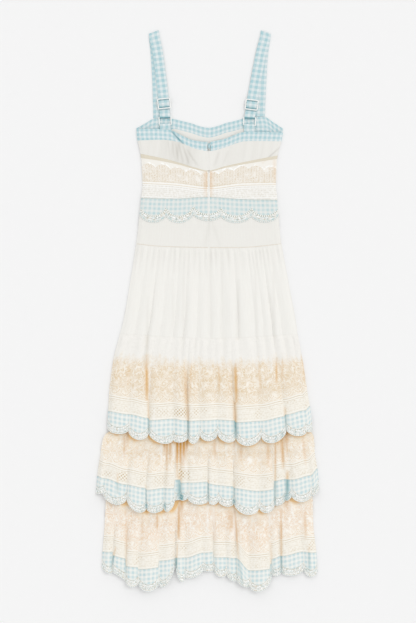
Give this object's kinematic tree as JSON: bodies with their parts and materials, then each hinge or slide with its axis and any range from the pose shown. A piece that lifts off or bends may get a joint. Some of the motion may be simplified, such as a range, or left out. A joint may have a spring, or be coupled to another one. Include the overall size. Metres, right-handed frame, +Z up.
{
  "type": "midi dress",
  "caption": "Sleeveless tiered midi dress laid flat, back up: gingham strapped bodice, lace midriff, gathered skirt and scalloped lace tiers.",
  "frame": {"origin": "middle of the bounding box's underside, on the surface that the dress lies on", "axes": "+Y from the hem to the straps' tops, +Z up out of the dress's back, +X across to the dress's right as it is seen from above"},
  "size_m": [0.5372, 1.349, 0.0241],
  "materials": {
    "aqua_gingham": "fine cotton, quarter-inch aqua and white check",
    "white_voile": "matte off-white cotton voile",
    "beige_lace": "matte beige net with cream floral lace",
    "ivory_insertion": "matte ivory lattice insertion lace",
    "beige_tape": "matte beige cotton binding",
    "white_enamel": "glossy white enamel",
    "aqua_enamel": "satin aqua enamel",
    "white_zip_chain": "white nylon coil"
  },
  "bodies": {
    "dress": {"back_bodice_left": "white_voile", "back_bodice_right": "white_voile", "back_hip_yoke_left": "white_voile", "back_hip_yoke_right": "white_voile", "back_midriff_insertion_left": "ivory_insertion", "back_midriff_insertion_right": "ivory_insertion", "back_midriff_lace_left": "beige_lace", "back_midriff_lace_right": "beige_lace", "back_midriff_tape_left": "beige_tape", "back_midriff_tape_right": "beige_tape", "back_neck_band_left": "aqua_gingham", "back_neck_band_right": "aqua_gingham", "back_skirt": "white_voile", "back_tier_1": "beige_lace", "back_tier_1_border": "aqua_gingham", "back_tier_1_insertion": "ivory_insertion", "back_tier_2": "beige_lace", "back_tier_2_border": "aqua_gingham", "back_tier_2_insertion": "ivory_insertion", "back_tier_3": "beige_lace", "back_tier_3_border": "aqua_gingham", "back_tier_3_insertion": "ivory_insertion", "back_waist_border_left": "aqua_gingham", "back_waist_border_right": "aqua_gingham", "front_bodice": "white_voile", "front_hip_yoke": "white_voile", "front_midriff_insertion": "ivory_insertion", "front_midriff_lace": "beige_lace", "front_midriff_tape": "beige_tape", "front_neck_band": "aqua_gingham", "front_skirt": "white_voile", "front_tier_1": "beige_lace", "front_tier_1_border": "aqua_gingham", "front_tier_1_insertion": "ivory_insertion", "front_tier_2": "beige_lace", "front_tier_2_border": "aqua_gingham", "front_tier_2_insertion": "ivory_insertion", "front_tier_3": "beige_lace", "front_tier_3_border": "aqua_gingham", "front_tier_3_insertion": "ivory_insertion", "front_waist_border": "aqua_gingham", "strap_left": "aqua_gingham", "strap_right": "aqua_gingham", "strap_ring_left": "white_enamel", "strap_ring_right": "white_enamel", "strap_slider_left": "white_enamel", "strap_slider_right": "white_enamel", "strap_tab_left": "aqua_gingham", "strap_tab_right": "aqua_gingham", "zip_chain": "white_zip_chain", "zip_slider": "aqua_enamel"},
    "pull_tab": {"zip_pull": "aqua_enamel"}
  },
  "joints": [
    {"name": "zip_pull_hinge", "type": "hinge", "parent": "dress", "child": "pull_tab", "pos_m": [0.00344, 0.4007, 0.0087], "axis": [-1, 0, 0], "range_deg": [0, 150]}
  ]
}
